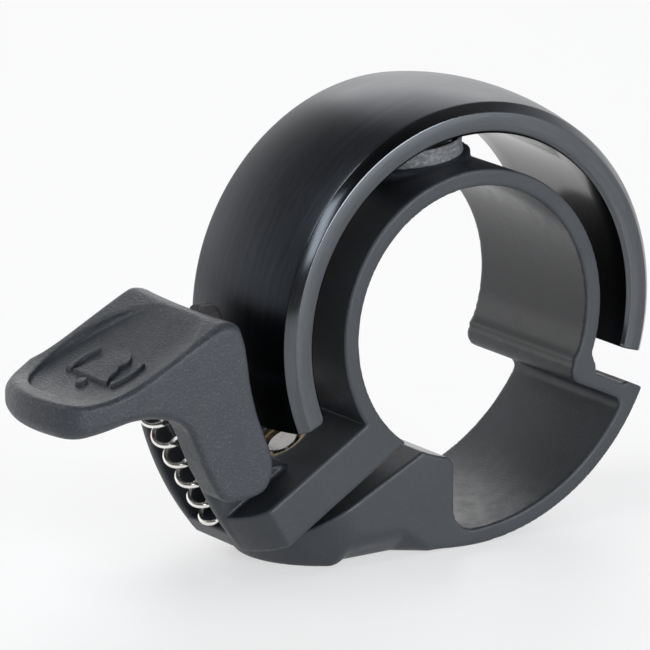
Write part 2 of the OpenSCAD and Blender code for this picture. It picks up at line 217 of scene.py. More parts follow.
# ---- finishes ------------------------------------------------------------------------------------


@dataclass(frozen=True)
class Finish:
    """What every finish shares: a name and a Principled surface."""

    name: str

    def build(self) -> bpy.types.Material:
        """Make the material, once for each name."""
        known = bpy.data.materials.get(self.name)
        if known is not None:
            return known
        material = bpy.data.materials.new(self.name)
        material.use_nodes = True
        graph = Graph(material.node_tree)
        surface = graph.node("ShaderNodeBsdfPrincipled")
        out = graph.node("ShaderNodeOutputMaterial")
        graph.tree.links.new(surface.outputs[0], out.inputs["Surface"])
        self.fill(graph, surface)
        return material

    def fill(self, graph: Graph, surface: bpy.types.Node) -> None:
        """Set the surface's sockets.

        Args:
            graph: the material's node graph.
            surface: its Principled node.
        """
        raise NotImplementedError

    @staticmethod
    def relief(graph: Graph, height: Value, depth_mm: float, rounding_mm: float = 0.0) -> bpy.types.NodeSocket:
        """A bump normal from a height of 0 to 1.

        Args:
            graph: the node graph.
            height: the relief's height, 0 to 1.
            depth_mm: depth of the relief.
            rounding_mm: radius given to crisp edges first, or 0.

        Returns:
            The normal socket.
        """
        inputs: dict = {"Height": height, "Distance": depth_mm * MM, "Strength": 1.0}
        if rounding_mm > 0:
            soft = graph.node("ShaderNodeBevel", {"samples": 6}, {"Radius": rounding_mm * MM})
            inputs["Normal"] = soft.outputs[0]
        return graph.node("ShaderNodeBump", None, inputs).outputs["Normal"]


@dataclass(frozen=True)
class Nylon(Finish):
    """Moulded, glass-filled nylon: fine spark texture, faint mottling and rubbed edges."""

    colour: tuple = (0.0215, 0.0252, 0.031, 1)
    rubbed: tuple = (0.064, 0.073, 0.086, 1)
    roughness: float = 0.5
    grain_mm: float = 0.16
    grain_depth: float = 0.012
    speck: float = 0.5
    edge_name: str = "edge"

    def fill(self, graph: Graph, surface: bpy.types.Node) -> None:
        """Grain as bump, specks and mottling in colour and roughness, lighter edges."""
        place = graph.place()
        grain = graph.noise(place, 1.0 / (self.grain_mm * MM), 2.0, 0.6)
        broad = graph.noise(place, 190.0, 4.0, 0.6)
        cloudy = graph.noise(graph.mapped((1, 1, 1), (0.3, 0.1, 0.2)), 900.0, 3.0, 0.55)
        edge = graph.value("ShaderNodeAttribute", "Fac", {"attribute_name": self.edge_name})
        specks = grain.ramp(0.50, 0.70) * self.speck
        wear = edge.ramp(0.25, 0.9) * (0.25 + broad.ramp(0.4, 0.7) * 0.55)
        base = graph.blend(broad.ramp(0.3, 0.75) * 0.2 + specks * 0.8, self.colour,
                           tuple(min(1.0, c * 2.4) for c in self.colour[:3]) + (1,))
        graph.feed(surface.inputs["Base Color"], graph.blend(wear, base, self.rubbed))
        graph.feed(surface.inputs["Roughness"],
                   self.roughness + (cloudy - 0.5) * 0.22 + (broad - 0.5) * 0.16 - specks * 0.12)
        surface.inputs["Specular IOR Level"].default_value = 0.5
        height = grain * 0.7 + cloudy * 0.3
        graph.feed(surface.inputs["Normal"], self.relief(graph, height, self.grain_depth))


@dataclass(frozen=True)
class TurnedMetal(Finish):
    """Anodised metal with fine lines that run round the handlebar axis."""

    colour: tuple = (0.018, 0.0205, 0.025, 1)
    light: tuple = (0.046, 0.051, 0.060, 1)
    roughness: float = 0.3
    line_depth: float = 0.004
    line_mm: float = 0.07
    stretch: float = 0.00063

    def fill(self, graph: Graph, surface: bpy.types.Node) -> None:
        """Lines: noise on (angle round the bore, radius, place along the bar), stretched along the angle."""
        split = graph.node("ShaderNodeSeparateXYZ", None, {0: graph.place()})
        x, y, z = (Value(graph, split.outputs[i]) for i in range(3))
        stretched = (x * -1.0).angle(z) * self.stretch
        radius = (x * x + z * z) ** 0.5
        turned = graph.node("ShaderNodeCombineXYZ", None, {0: stretched, 1: y, 2: radius}).outputs[0]
        fine = graph.noise(turned, 1.0 / (self.line_mm * MM), 3.0, 0.65)
        coarse = graph.noise(turned, 0.16 / (self.line_mm * MM), 3.0, 0.6)
        cloud = graph.noise(graph.place(), 140.0, 3.0, 0.5)
        scratch = fine.ramp(0.66, 0.78) * coarse.ramp(0.45, 0.65)
        edge = graph.value("ShaderNodeAttribute", "Fac", {"attribute_name": "edge"})
        share = fine.ramp(0.3, 0.8) * 0.35 + coarse.ramp(0.3, 0.8) * 0.25 + scratch * 0.6 + edge * 0.4
        graph.feed(surface.inputs["Base Color"], graph.blend(share, self.colour, self.light))
        graph.feed(surface.inputs["Roughness"],
                   self.roughness + (fine - 0.5) * 0.16 + (cloud - 0.5) * 0.10)
        surface.inputs["Metallic"].default_value = 1.0
        graph.feed(surface.inputs["Normal"],
                   self.relief(graph, fine * 0.7 + coarse * 0.3, self.line_depth))


@dataclass(frozen=True)
class BrightMetal(Finish):
    """Plated or plain small metal parts: slight tarnish, scratches and uneven gloss."""

    colour: tuple = (0.78, 0.77, 0.75, 1)
    tarnish: tuple = (0.48, 0.46, 0.43, 1)
    roughness: float = 0.16
    scratch_depth: float = 0.003
    rounding: float = 0.08

    def fill(self, graph: Graph, surface: bpy.types.Node) -> None:
        """Broad noise for tarnish, stretched noise for scratches, fine noise for gloss."""
        place = graph.place()
        broad = graph.noise(place, 700.0, 4.0, 0.6)
        scratches = graph.noise(graph.mapped((1.0, 6.0, 1.0)), 3200.0, 3.0, 0.7)
        graph.feed(surface.inputs["Base Color"],
                   graph.blend(broad.ramp(0.45, 0.8) * 0.7, self.colour, self.tarnish))
        graph.feed(surface.inputs["Roughness"],
                   self.roughness + (broad - 0.4) * 0.15 + scratches.ramp(0.6, 0.8) * 0.12)
        surface.inputs["Metallic"].default_value = 1.0
        graph.feed(surface.inputs["Normal"],
                   self.relief(graph, scratches, self.scratch_depth, self.rounding))


@dataclass(frozen=True)
class RoughKnob(Finish):
    """Dark sintered striker: open grain, slightly lighter high spots."""

    colour: tuple = (0.022, 0.020, 0.022, 1)
    dust: tuple = (0.055, 0.050, 0.052, 1)

    def fill(self, graph: Graph, surface: bpy.types.Node) -> None:
        """Two sizes of noise make pits; the high spots are lighter and duller."""
        place = graph.place()
        pits = graph.noise(place, 2600.0, 4.0, 0.7)
        lumps = graph.noise(place, 900.0, 2.0, 0.5)
        graph.feed(surface.inputs["Base Color"],
                   graph.blend(pits.ramp(0.45, 0.72) * 0.6, self.colour, self.dust))
        graph.feed(surface.inputs["Roughness"], 0.62 + (lumps - 0.5) * 0.3)
        graph.feed(surface.inputs["Normal"], self.relief(graph, pits * 0.6 + lumps * 0.4, 0.09))


@dataclass(frozen=True)
class Collar(Finish):
    """Light grey, hard rubber collar with rubbed streaks."""

    colour: tuple = (0.14, 0.143, 0.15, 1)
    streak: tuple = (0.34, 0.345, 0.355, 1)

    def fill(self, graph: Graph, surface: bpy.types.Node) -> None:
        """Streaks stretched along the bar over a fine grain."""
        streaks = graph.noise(graph.mapped((1.0, 0.35, 1.6)), 2400.0, 4.0, 0.65)
        grain = graph.noise(graph.place(), 7000.0, 2.0, 0.5)
        graph.feed(surface.inputs["Base Color"],
                   graph.blend(streaks.ramp(0.4, 0.75), self.colour, self.streak))
        graph.feed(surface.inputs["Roughness"], 0.6 + (streaks - 0.5) * 0.3)
        graph.feed(surface.inputs["Normal"], self.relief(graph, grain * 0.5 + streaks * 0.5, 0.03))


@dataclass(frozen=True)
class Palette:
    """The finishes of the bell, one field each."""

    barrel: Finish = TurnedMetal("anodised_barrel", roughness=0.33)
    bright_cut: Finish = TurnedMetal("anodised_bright_cut", colour=(0.085, 0.09, 0.098, 1),
                                     light=(0.16, 0.168, 0.18, 1), roughness=0.17, line_depth=0.0015)
    face: Finish = TurnedMetal("anodised_face", colour=(0.075, 0.08, 0.086, 1),
                               light=(0.12, 0.127, 0.135, 1), roughness=0.36, line_depth=0.002)
    inner: Finish = TurnedMetal("anodised_inner", colour=(0.10, 0.10, 0.102, 1),
                                light=(0.13, 0.13, 0.133, 1), roughness=0.1, line_depth=0.0008)
    bracket: Finish = Nylon("nylon_bracket", roughness=0.46, grain_depth=0.03, speck=0.3)
    # The bore finish is the bracket nylon with darker base and rubbed colours, painted shade inside the
    # recessed bore; its lower roughness and finer grain are the bore's own.
    bore: Finish = Nylon("nylon_bore_painted_shade", colour=(0.008, 0.0095, 0.012, 1), rubbed=(0.03, 0.034, 0.040, 1),
                         roughness=0.24, grain_depth=0.006, speck=0.15)
    lever: Finish = Nylon("nylon_lever", colour=(0.0215, 0.0255, 0.032, 1), rubbed=(0.072, 0.082, 0.097, 1),
                          roughness=0.5, grain_mm=0.24, grain_depth=0.11, speck=0.7)
    collar: Finish = Collar("rubber_collar")
    knob: Finish = RoughKnob("sintered_striker")
    nickel: Finish = BrightMetal("nickel_wire", colour=(0.92, 0.90, 0.86, 1), tarnish=(0.7, 0.66, 0.6, 1),
                                 roughness=0.12, rounding=0.0)
    steel: Finish = BrightMetal("plated_steel")
    brass: Finish = BrightMetal("brass", colour=(0.74, 0.52, 0.24, 1), tarnish=(0.42, 0.27, 0.11, 1),
                                roughness=0.24)
    black_steel: Finish = BrightMetal("blackened_steel", colour=(0.10, 0.10, 0.105, 1),
                                      tarnish=(0.06, 0.055, 0.05, 1), roughness=0.35)


# ---- shapes as whole arrays ----------------------------------------------------------------------


def round_max(first: Array, second: Array, radius: float) -> Array:
    """Where two solids overlap, with the outer edge rounded: an arc of radius across the corner."""
    across = np.hypot(np.maximum(first + radius, 0), np.maximum(second + radius, 0))
    return np.minimum(np.maximum(first, second), -radius) + across


def round_min(first: Array, second: Array, radius: float) -> Array:
    """Two solids joined, with a fillet of radius in the inner corner."""
    return -round_max(-first, -second, radius)


def polygon_distance(u: Array, v: Array, points: Array) -> Array:
    """Signed distance to a closed outline: the least distance to its sides, negative inside."""
    u, v = np.broadcast_arrays(u, v)
    best = np.full(u.shape, 1e9)
    inside = np.zeros(u.shape, bool)
    for (ax, ay), (bx, by) in zip(points, np.roll(points, -1, axis=0)):
        ex, ey = bx - ax, by - ay
        wx, wy = u - ax, v - ay
        share = np.clip((wx * ex + wy * ey) / (ex * ex + ey * ey), 0, 1)
        best = np.minimum(best, (wx - ex * share) ** 2 + (wy - ey * share) ** 2)
        if by != ay:
            crosses = (ay > v) != (by > v)
            inside ^= crosses & (u < ex * (v - ay) / ey + ax)
    return np.where(inside, -1.0, 1.0) * np.sqrt(best)


def softened(points: Sequence[Sequence[float]], reach: float | Sequence[float], steps: int = 4) -> Array:
    """An outline with its corners rounded: each corner becomes a quadratic arc that starts reach away.

    Args:
        points: corners, in order round the outline.
        reach: how far from each corner its arc starts, one value or one per corner.
        steps: points on each arc.

    Returns:
        The rounded outline.
    """
    here = np.array(points, float)
    reaches = np.broadcast_to(np.array(reach, float), (len(here),))
    to_last = np.roll(here, 1, axis=0) - here
    to_next = np.roll(here, -1, axis=0) - here
    last_len = np.linalg.norm(to_last, axis=1)
    next_len = np.linalg.norm(to_next, axis=1)
    start = here + to_last * (np.minimum(reaches, 0.48 * last_len) / last_len)[:, None]
    end = here + to_next * (np.minimum(reaches, 0.48 * next_len) / next_len)[:, None]
    t = np.linspace(0, 1, steps)[None, :, None]
    arcs = (1 - t) ** 2 * start[:, None] + 2 * t * (1 - t) * here[:, None] + t**2 * end[:, None]
    return arcs.reshape(-1, 2)


def surface_net(solid: Field, low: Sequence[float], high: Sequence[float], step: float) -> tuple[Array, Array]:
    """The surface where a distance function is zero, as a net of quads.

    A vertex lies in each grid cell that the surface crosses, at the mean of the crossings on the
    cell's edges; a quad joins the four cells round each crossed edge. Two Newton steps along the
    gradient then put every vertex on the surface itself.

    Args:
        solid: signed distance in millimetres, negative inside.
        low: lowest corner of the grid.
        high: highest corner of the grid.
        step: grid step.

    Returns:
        Vertices (n, 3) and quads (m, 4), faces outward.
    """
    axes = [np.arange(a - 2.5 * step, b + 2.5 * step, step) for a, b in zip(low, high)]
    value = solid(axes[0][:, None, None], axes[1][None, :, None], axes[2][None, None, :])
    value = np.where(value == 0, 1e-7, value)
    inside = value < 0
    cells = tuple(n - 1 for n in value.shape)
    total = np.zeros(cells + (3,))
    count = np.zeros(cells)
    crossings = []
    for axis in range(3):
        near = [slice(None)] * 3
        far = [slice(None)] * 3
        near[axis], far[axis] = slice(None, -1), slice(1, None)
        crossed = inside[tuple(near)] != inside[tuple(far)]
        index = np.argwhere(crossed)
        a, b = value[tuple(near)][crossed], value[tuple(far)][crossed]
        place = index.astype(float)
        place[:, axis] += a / (a - b)
        others = [i for i in range(3) if i != axis]
        for back_u in (0, 1):
            for back_v in (0, 1):
                cell = index.copy()
                cell[:, others[0]] -= back_u
                cell[:, others[1]] -= back_v
                np.add.at(total, tuple(cell.T), place)
                np.add.at(count, tuple(cell.T), 1)
        crossings.append((axis, others, index, a < 0))
    used = count > 0
    number = np.full(cells, -1)
    number[used] = np.arange(used.sum())
    vertices = total[used] / count[used][:, None] * step + np.array([a[0] for a in axes])
    quads = []
    for axis, others, index, leaves in crossings:
        ring = []
        for back_u, back_v in ((1, 1), (0, 1), (0, 0), (1, 0)):
            cell = index.copy()
            cell[:, others[0]] -= back_u
            cell[:, others[1]] -= back_v
            ring.append(number[tuple(cell.T)])
        quad = np.stack(ring, axis=1)
        turn = leaves if axis != 1 else ~leaves
        quads.append(np.where(turn[:, None], quad, quad[:, ::-1]))
    for _ in range(2):
        away, slope = gradient(solid, vertices, 0.02)
        vertices = vertices - np.clip(away, -0.5 * step, 0.5 * step)[:, None] * slope
    return vertices, np.concatenate(quads)


def gradient(solid: Field, points: Array, reach: float) -> tuple[Array, Array]:
    """The distance at points and its unit gradient, from one-sided differences.

    Args:
        solid: the distance function.
        points: where, (n, 3).
        reach: the difference's length.

    Returns:
        Distances (n,) and unit gradients (n, 3).
    """
    x, y, z = points.T
    here = solid(x, y, z)
    slope = np.stack([solid(x + reach, y, z) - here, solid(x, y + reach, z) - here,
                      solid(x, y, z + reach) - here], axis=1)
    length = np.linalg.norm(slope, axis=1, keepdims=True)
    return here, slope / np.maximum(length, 1e-6)


def edge_share(solid: Field, points: Array, reach: float) -> Array:
    """How sharply the surface turns outward: the mean distance at six points around, over reach."""
    x, y, z = points.T
    around = (solid(x + reach, y, z) + solid(x - reach, y, z) + solid(x, y + reach, z)
              + solid(x, y - reach, z) + solid(x, y, z + reach) + solid(x, y, z - reach))
    return np.clip(around / (6 * reach) * 2.2, 0, 1)


def turned_grid(height: Array, radius: Array, sides: int) -> tuple[Array, list]:
    """A profile turned about Z and closed at both ends on the axis.

    A vertex is (radius cos t, radius sin t, height); radius may differ with t.

    Args:
        height: heights along the profile, (n,).
        radius: radii, (n,) or (n, sides).
        sides: points round the axis.

    Returns:
        Vertices and faces.
    """
    angle = np.linspace(0, 2 * math.pi, sides, endpoint=False)
    radius = np.broadcast_to(radius if radius.ndim == 2 else radius[:, None], (len(height), sides))
    rings = np.stack([radius * np.cos(angle), radius * np.sin(angle),
                      np.broadcast_to(height[:, None], radius.shape)], axis=-1).reshape(-1, 3)
    i, j = np.meshgrid(np.arange(len(height) - 1), np.arange(sides), indexing="ij")
    k = (j + 1) % sides
    quads = np.stack([i * sides + j, i * sides + k, (i + 1) * sides + k, (i + 1) * sides + j], axis=-1)
    foot, top = len(rings), len(rings) + 1
    vertices = np.concatenate([rings, [[0, 0, height[0]], [0, 0, height[-1]]]])
    j = np.arange(sides)
    last = (len(height) - 1) * sides
    ends = [(foot, (a + 1) % sides, a) for a in j] + [(top, last + a, last + (a + 1) % sides) for a in j]
    return vertices, quads.reshape(-1, 4).tolist() + ends


def make_object(name: str, vertices: Array, faces: Sequence, finishes: Sequence[Finish],
                body: Body, which: Array | None = None, edge: Array | None = None,
                smooth: bool = True) -> bpy.types.Object:
    """Put arrays into a mesh object at the origin, dressed and riding on its body.

    Args:
        name: the piece's name.
        vertices: places in millimetres, (n, 3).
        faces: vertex numbers of each face.
        finishes: the piece's materials.
        body: the body that it rides on.
        which: the material of each face.
        edge: wear along edges at each vertex, 0 to 1.
        smooth: whether faces are shaded smooth.

    Returns:
        The object.
    """
    mesh = bpy.data.meshes.new(name)
    mesh.from_pydata((np.asarray(vertices) * MM).tolist(), [],
                     faces.tolist() if isinstance(faces, np.ndarray) else list(faces))
    for finish in finishes:
        mesh.materials.append(finish.build())
    if which is not None:
        mesh.polygons.foreach_set("material_index", np.asarray(which, np.int32))
    mesh.polygons.foreach_set("use_smooth", np.full(len(mesh.polygons), smooth))
    attribute = mesh.attributes.new("edge", "FLOAT", "POINT")
    attribute.data.foreach_set("value", np.zeros(len(vertices), np.float32) if edge is None
                               else edge.astype(np.float32))
    mesh.update()
    made = bpy.data.objects.new(name, mesh)
    bpy.context.scene.collection.objects.link(made)
    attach(made, body.value)
    LOG.info("%s: %d vertices, %d faces on %s", name, len(mesh.vertices), len(mesh.polygons), body.value)
    return made


def dress_node(frame: dict, name: str, finish: Finish) -> None:
    """Give a CAD node that stays in view its finish."""
    mesh = frame["nodes"][name].data
    mesh.materials.clear()
    mesh.materials.append(finish.build())
    LOG.info("%s: CAD node, %s", name, finish.name)


# ---- places ----------------------------------------------------------------------------------------


@dataclass(frozen=True)
class ClampFrame:
    """The inclined frame of the clamp: a towards the bore, b up the screw axis."""

    x: float = -11.8
    z: float = -12.12
    slope: float = math.radians(31.3)

    def split(self, x: Array, z: Array) -> tuple[Array, Array]:
        """Places along a and b of points given by x and z."""
        c, s = math.cos(self.slope), math.sin(self.slope)
        return (x - self.x) * c + (z - self.z) * s, (z - self.z) * c - (x - self.x) * s

    def matrix(self, a: float = 0.0, b: float = 0.0) -> Array:
        """A 3x4 placement whose local X, Y, Z are a, the bar and b."""
        c, s = math.cos(self.slope), math.sin(self.slope)
        turn = np.array([[c, 0, -s], [0, 1, 0], [s, 0, c]])
        return np.column_stack([turn, np.array([self.x, 0, self.z]) + turn @ np.array([a, 0, b])])


@dataclass(frozen=True)
class RadialFrame:
    """A frame whose local Z points outward from the bore's axis at an angle."""

    angle: float

    def matrix(self) -> Array:
        """A 3x4 placement."""
        c, s = math.cos(self.angle), math.sin(self.angle)
        return np.array([[s, 0, c, 0], [0, 1, 0, 0], [-c, 0, s, 0]], float)

    def split(self, x: Array, z: Array) -> tuple[Array, Array]:
        """Places across the radius and along it."""
        c, s = math.cos(self.angle), math.sin(self.angle)
        return x * s - z * c, x * c + z * s


def placed(matrix: Array, points: Array) -> Array:
    """Points moved by a 3x4 placement."""
    return points @ matrix[:, :3].T + matrix[:, 3]


# ---- the bell -------------------------------------------------------------------------------------


@dataclass
class BellShell:
    """The C-shaped bell and the boss that carries it."""

    inner: float = 15.3
    outer: float = 18.5
    flat: float = 17.08
    half: float = 7.3
    chamfer: float = 0.7
    bevel: float = 0.3
    barrel: float = 30.0
    start: float = math.radians(-16.5)
    span: float = math.radians(219.5)
    boss_angle: float = math.radians(95.75)
    end_round: float = 0.6
    boss_low: float = 13.95
    boss_radius: float = 4.4
    palette: Palette = field(default_factory=Palette)

    def profile(self) -> tuple[Array, Array]:
        """The bell's section as (radius, along the bar) and the finish number of each side.

        The barrel is radius = outer - R + sqrt(R^2 - y^2).
        """
        y = np.linspace(-self.half + self.chamfer, self.half - self.chamfer, 49)
        barrel = np.stack([self.outer - self.barrel + np.sqrt(self.barrel**2 - y**2), y], axis=1)
        corners = np.array([[self.flat, self.half], [self.inner + self.bevel, self.half],
                            [self.inner, self.half - self.bevel], [self.inner, -self.half + self.bevel],
                            [self.inner + self.bevel, -self.half], [self.flat, -self.half]])
        inner = np.linspace(corners[2], corners[3], 9)[1:-1]
        outline = np.concatenate([barrel, corners[:3], inner, corners[3:]])
        which = np.concatenate([np.zeros(48), [1, 2, 1], np.full(8, 3), [1, 2, 1]])
        return outline, which.astype(int)

    def soften(self, outline: Array, which: Array, radius: float) -> tuple[Array, Array]:
        """The section with each real corner replaced by a three-point arc."""
        before = np.roll(outline, 1, axis=0) - outline
        after = np.roll(outline, -1, axis=0) - outline
        lengths = np.linalg.norm(before, axis=1), np.linalg.norm(after, axis=1)
        cosine = (before * after).sum(1) / (lengths[0] * lengths[1])
        points, sides = [], []
        for p, b, a, lb, la, c, kind, last in zip(outline, before, after, *lengths, cosine, which,
                                                  np.roll(which, 1)):
            if c < -0.97:
                points.append(p)
                sides.append(kind)
                continue
            start, end = p + b / lb * min(radius, 0.3 * lb), p + a / la * min(radius, 0.3 * la)
            points += [start, (start + 2 * p + end) / 4, end]
            sides += [last if kind == 0 else kind, kind, kind]
        return np.array(points), np.array(sides)

    def build(self) -> None:
        """The section carried round the bar axis: (r cos t, y, r sin t), with closed, rounded ends."""
        outline, which = self.soften(*self.profile(), 0.07)
        count = len(outline)
        fine = np.array([0, 0.02, 0.06, 0.12, 0.2, 0.3, 0.42, 0.56, 0.7]) / self.inner
        middle = np.linspace(self.start + fine[-1], self.start + self.span - fine[-1], 400)[1:-1]
        angle = np.concatenate([self.start + fine, middle, self.start + self.span - fine[::-1]])
        to_end = (self.start + self.span - angle) * self.inner
        to_start = (angle - self.start) * self.inner
        lift = self.arc_lift(to_end, self.end_round) + self.arc_lift(to_start, 0.3)
        inset = self.arc_lift(np.minimum(to_end, to_start), 0.07)
        centre = outline.mean(0)
        shrink = 1 - inset[:, None] * np.array([0.55, 0.14])
        section = centre + (outline - centre)[None] * shrink[:, None, :]
        radius = section[..., 0] + lift[:, None] * np.clip((17.0 - section[..., 0]) / 1.7, 0, 1)
        points = np.stack([radius * np.cos(angle)[:, None], section[..., 1],
                           radius * np.sin(angle)[:, None]], axis=-1).reshape(-1, 3)
        i, j = np.meshgrid(np.arange(len(angle) - 1), np.arange(count), indexing="ij")
        k = (j + 1) % count
        quads = np.stack([i * count + j, (i + 1) * count + j, (i + 1) * count + k, i * count + k], axis=-1)
        last = (len(angle) - 1) * count
        faces = quads.reshape(-1, 4).tolist()
        faces += [list(range(count)), list(range(last + count - 1, last - 1, -1))]
        kinds = np.concatenate([np.tile(which, len(angle) - 1), [2, 2]])
        p = self.palette
        made = make_object("bell_shell", points, faces, [p.barrel, p.bright_cut, p.face, p.inner],
                           Body.BRACKET, kinds)
        self.crisp(made)
        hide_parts("bell_ring")
        self.build_boss()

    @staticmethod
    def arc_lift(distance: Array, radius: float) -> Array:
        """How far a quarter-round of radius has cut in at a distance from the end."""
        inside = np.clip(radius - distance, 0, radius)
        return radius - np.sqrt(np.maximum(radius**2 - inside**2, 0))

    @staticmethod
    def crisp(made: bpy.types.Object) -> None:
        """Keep flat faces flat beside their small arcs, by weighted normals."""
        modifier = made.modifiers.new("weighted", "WEIGHTED_NORMAL")
        modifier.keep_sharp = True
        modifier.weight = 80

    def build_boss(self) -> None:
        """The boss: a turned profile on the radius at the middle of the bell."""
        high = self.inner + 0.9
        height = np.array([0.0, 0.0, 0.05, 0.15, high - self.boss_low, high - self.boss_low]) + self.boss_low
        inset = np.array([self.boss_radius, 0.18, 0.06, 0.0, -0.05, self.boss_radius])
        radius = self.boss_radius - inset
        points, faces = turned_grid(height, radius, 128)
        points = placed(RadialFrame(self.boss_angle).matrix(), points)
        made = make_object("bell_boss", points, faces, [self.palette.inner], Body.BRACKET)
        self.crisp(made)


@dataclass
class BushMount:
    """The collar between bracket and bell, with its hidden sleeve and screw."""

    angle: float = math.radians(95.75)
    low: float = 12.6
    high: float = 13.95
    radius: float = 4.4
    palette: Palette = field(default_factory=Palette)

    def build(self, frame: dict) -> None:
        """A turned collar with rounded rims and a slight waist.
        """
        s = np.linspace(0, 1, 25)
        waist = self.radius - 0.10 * np.sin(math.pi * s)
        rim = 0.12 * (np.clip(1 - s / 0.12, 0, 1) ** 2 + np.clip(1 - (1 - s) / 0.12, 0, 1) ** 2)
        height = self.low + (self.high - self.low) * s
        height = np.concatenate([[self.low], height, [self.high]])
        radius = np.concatenate([[0.0], waist - rim, [0.0]])
        points, faces = turned_grid(height, radius, 128)
        points = placed(RadialFrame(self.angle).matrix(), points)
        made = make_object("bush_collar", points, faces, [self.palette.collar], Body.BRACKET)
        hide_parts("bell_bush")
        dress_node(frame, "bell_sleeve", self.palette.steel)
        dress_node(frame, "bell_screw", self.palette.black_steel)


# ---- the bracket ----------------------------------------------------------------------------------


@dataclass
class ClampBracket:
    """The split nylon bracket: ring, cable channel, clamp arms and tail."""

    bore: float = 11.1
    ring: float = 12.5
    half: float = 7.4
    channel_in: float = 17.2
    channel_out: float = 18.55
    floor: float = -18.45
    block_x: float = -1.9
    tail_out: float = 25.7
    tail_half: float = 4.0
    slot_half: float = 2.7
    slot_floor: float = 1.9
    slot_end: float = -6.7
    arm_t: float = 3.75
    crease: float = -7.0
    gap: float = 1.15
    flare: float = math.radians(4.9)
    shelf: float = math.radians(-24.8)
    shelf_t: float = 1.25
    hinge: tuple = (-20.4, -8.8)
    edge: float = 0.16
    step: float = 0.21
    foot: float = -0.3
    end_round: float = 1.5
    wall_round: float = 2.0
    seat_r: float = 4.9
    seat_top: float = 12.6
    insert_r: float = 2.45
    insert_low: float = 0.45
    screw_r: float = 1.7
    head_r: float = 3.14
    head_seat: float = 3.0
    pin_r: float = 0.64
    sink_r: float = 2.4
    bell_screw_r: float = 1.45
    clamp: ClampFrame = ClampFrame()
    bush: RadialFrame = RadialFrame(math.radians(95.75))
    palette: Palette = field(default_factory=Palette)
    tail_points: tuple = ((-15.2, -10.1), (-18.35, -9.9), (-18.6, -7.4), (-20.2, -6.52), (-23.2, -5.3),
                          (-23.9, -4.75), (-26.6, -4.6), (-29, -12), (-22, -20), (-16, -14))

    @staticmethod
    def wedge(x: Array, z: Array, first: float, last: float) -> Array:
        """Distance to a sector under 180 degrees: the larger of two half planes' distances."""
        a, b = math.radians(first), math.radians(last)
        return np.maximum(math.sin(a) * x - math.cos(a) * z, -math.sin(b) * x + math.cos(b) * z)

    def ring_part(self, x: Array, z: Array, r: Array) -> Array:
        """Ring, shelf with its bead, and channel wall, as one section."""
        band = np.maximum(r - self.ring, self.bore - r)
        ring = np.maximum(band, -self.wedge(x, z, 215.3, 335.2))
        root = np.maximum(np.maximum(band, self.wedge(x, z, 190, 240)), -self.clamp.split(x, z)[1])
        c, s = math.cos(self.shelf), math.sin(self.shelf)
        u, v = x * c + z * s, z * c - x * s
        shelf = np.maximum(np.abs(v + 0.45 + self.shelf_t / 2) - self.shelf_t / 2, 12.2 - u)
        shelf = round_max(shelf, r - self.channel_out, 0.3)
        bead_a = self.shelf - math.radians(2.4)
        bead = np.hypot(x - 12.3 * math.cos(bead_a), z - 12.3 * math.sin(bead_a)) - 1.2
        wall = np.maximum(r - self.channel_out, self.channel_in - r)
        wall = np.maximum(wall, -self.wedge(x, z, -26.0, 150))
        wall = np.maximum(wall, -self.wedge(x, z, 149, 259.5))
        upper = round_min(np.minimum(ring, root), np.minimum(shelf, bead), 0.55)
        return np.maximum(round_min(upper, wall, 0.9), r - self.channel_out)

    def lower_arm(self, x: Array, y: Array, z: Array, r: Array) -> Array:
        """The block under the slit, its round end and the scooped lower edges."""
        a, b = self.clamp.split(x, z)
        under = a * math.sin(self.flare) + (b + self.gap) * math.cos(self.flare)
        side = round_max(np.maximum(under, self.bore - r), x - self.block_x, 0.8)
        section = np.maximum(r - self.tail_out, np.maximum(side, self.floor - z))
        end = np.where(a < self.foot, np.hypot(a - self.foot, y) - self.half, np.abs(y) - self.half)
        window = np.clip((x + 14.0) / 2.5, 0, 1) * np.clip((-4.2 - x) / 2.5, 0, 1)
        scoop = (np.abs(y) - self.half - (z - self.floor) + 1.9 * window) / math.sqrt(2)
        return round_max(round_max(section, end, self.edge), scoop, 0.5)

    def upper_arm(self, x: Array, y: Array, z: Array, r: Array) -> Array:
        """The arm above the slit, with its tapered end in plan."""
        a, b = self.clamp.split(x, z)
        section = np.maximum(self.bore - r, np.abs(b - self.arm_t / 2) - self.arm_t / 2)
        section = np.maximum(section, np.maximum(x + 7.4, np.maximum(-14.0 - a, a - 8.0)))
        run = (self.half - self.tail_half) / math.tan(math.radians(50))
        rise = self.half - self.tail_half
        taper = (-rise * (a - self.crease) + run * (np.abs(y) - self.half)) / math.hypot(run, rise)
        plan = np.minimum(np.maximum(np.abs(y) - self.half, taper), np.abs(y) - self.tail_half)
        return round_max(section, round_max(plan, r - self.tail_out, self.end_round), self.edge)

    def tail(self, x: Array, y: Array, z: Array, r: Array) -> Array:
        """The narrow tail with the hinge and the spring slot."""
        b = self.clamp.split(x, z)[1]
        knuckle = np.hypot(x - self.hinge[0], z - self.hinge[1]) - 2.3
        side = np.minimum(knuckle, polygon_distance(x, z, softened(self.tail_points, 0.25)))
        end = round_max(np.abs(y) - self.tail_half, r - self.tail_out, 0.8)
        return round_max(np.maximum(side, -b), end, self.edge)

